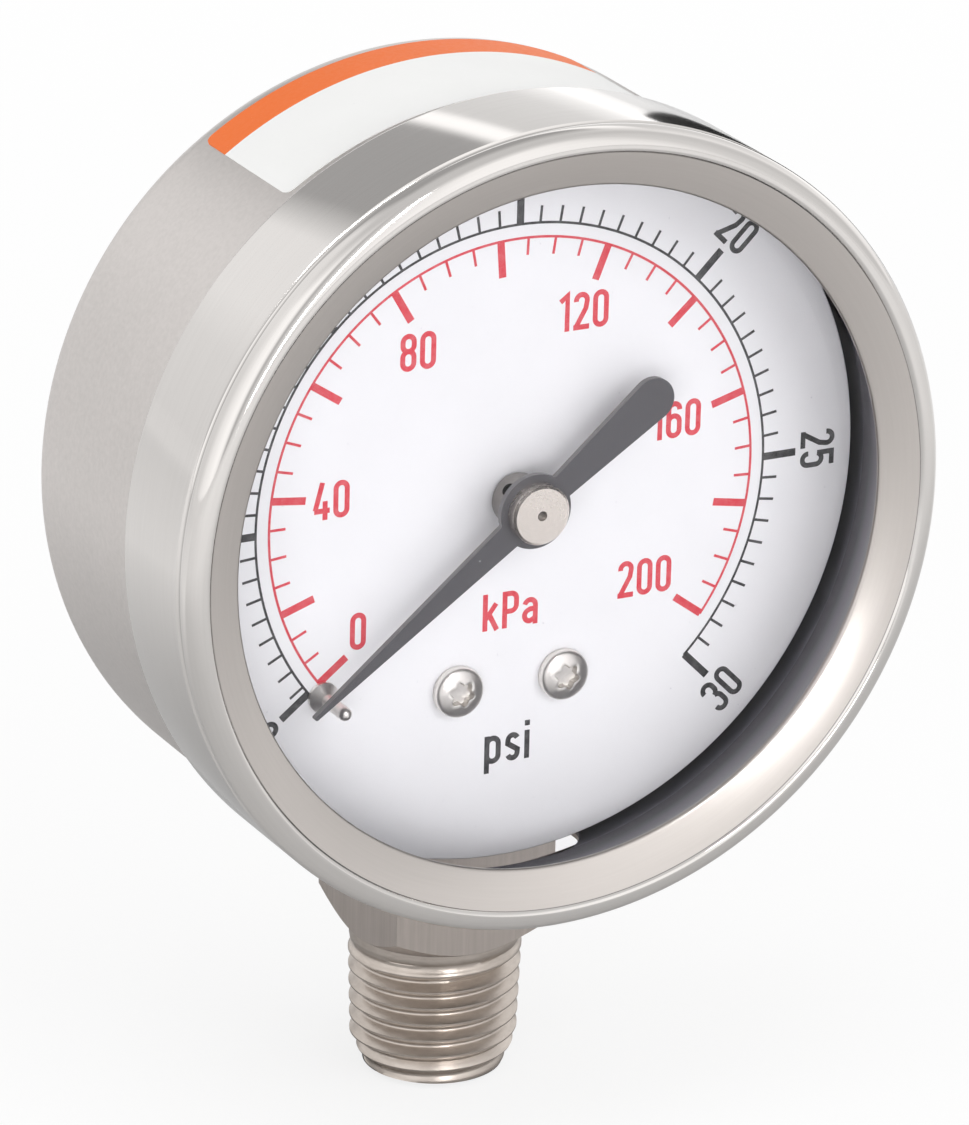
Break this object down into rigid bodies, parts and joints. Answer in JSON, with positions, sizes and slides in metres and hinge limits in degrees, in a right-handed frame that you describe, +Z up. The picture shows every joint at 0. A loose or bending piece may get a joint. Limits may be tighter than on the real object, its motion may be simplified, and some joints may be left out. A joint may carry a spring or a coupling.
{
  "type": "pressure gauge",
  "caption": "Round dial pressure gauge with a bottom threaded stem, a steel case and bezel, a pointer over a two-scale dial and a Bourdon tube movement.",
  "frame": {"origin": "centre of the stem end, at the mouth of the pressure port", "axes": "+Z up along the stem, -Y out of the dial toward the reader, +X to the reader's right"},
  "size_m": [0.0648, 0.0325, 0.0844],
  "materials": {
    "case_steel": "brushed stainless",
    "bezel_steel": "polished stainless",
    "window_glass": "clear",
    "gasket_rubber": "matt",
    "plug_rubber": "matt",
    "dial_white": "matt white",
    "screw_steel": "plain",
    "socket_steel": "turned and milled stainless",
    "tube_steel": "drawn",
    "movement_brass": "satin",
    "spring_bronze": "satin",
    "pointer_black": "matt black",
    "hub_nickel": "nickel plated"
  },
  "bodies": {
    "gauge_body": {"case_shell": "case_steel", "bezel_ring": "bezel_steel", "window": "window_glass", "window_gasket": "gasket_rubber", "dial_plate": "dial_white", "dial_screws": "screw_steel", "dial_posts": "screw_steel", "stop_pin": "screw_steel", "socket": "socket_steel", "case_screws": "screw_steel", "relief_plug": "plug_rubber", "bourdon_tube": "tube_steel", "front_plate": "movement_brass", "rear_plate": "movement_brass", "pillars": "movement_brass", "plate_screws": "screw_steel", "movement_screws": "screw_steel", "hairspring": "spring_bronze", "hairspring_stud": "movement_brass"},
    "sector": {"sector_gear": "movement_brass", "sector_arbor": "screw_steel", "tail_pin": "screw_steel"},
    "pointer": {"pinion_arbor": "screw_steel", "hairspring_collet": "movement_brass", "pointer_blade": "pointer_black", "pointer_hub": "hub_nickel", "pointer_cap": "hub_nickel"},
    "link": {"link_bar": "movement_brass"},
    "tip": {"tube_tip": "tube_steel", "tip_pin": "screw_steel"}
  },
  "joints": [
    {"name": "sector_turn", "type": "hinge", "parent": "gauge_body", "child": "sector", "pos_m": [0.006, -0.0071, 0.04161], "axis": [0, 1, 0], "range_deg": [-37.57, 0], "stiffness_Nm_per_rad": 0.004, "springref_deg": 5.73},
    {"name": "pointer_turn", "type": "hinge", "parent": "gauge_body", "child": "pointer", "pos_m": [0, -0.0085, 0.052], "axis": [0, 1, 0], "range_deg": [0, 263.01], "deforming": ["hairspring"]},
    {"name": "link_turn", "type": "hinge", "parent": "sector", "child": "link", "pos_m": [0.01215, -0.0059, 0.03951], "axis": [0, 1, 0], "range_deg": [0, 37.57]},
    {"name": "tip_swing", "type": "hinge", "parent": "gauge_body", "child": "tip", "pos_m": [-0.02044, -0.0047, 0.04809], "axis": [0, 1, 0], "range_deg": [-7.06, 0], "deforming": ["bourdon_tube"]}
  ],
  "couplings": [
    {"joint": "pointer_turn", "follows": "sector_turn", "ratio": -7},
    {"joint": "link_turn", "follows": "sector_turn", "ratio": -1},
    {"joint": "tip_swing", "follows": "sector_turn", "ratio": 0.18789}
  ]
}
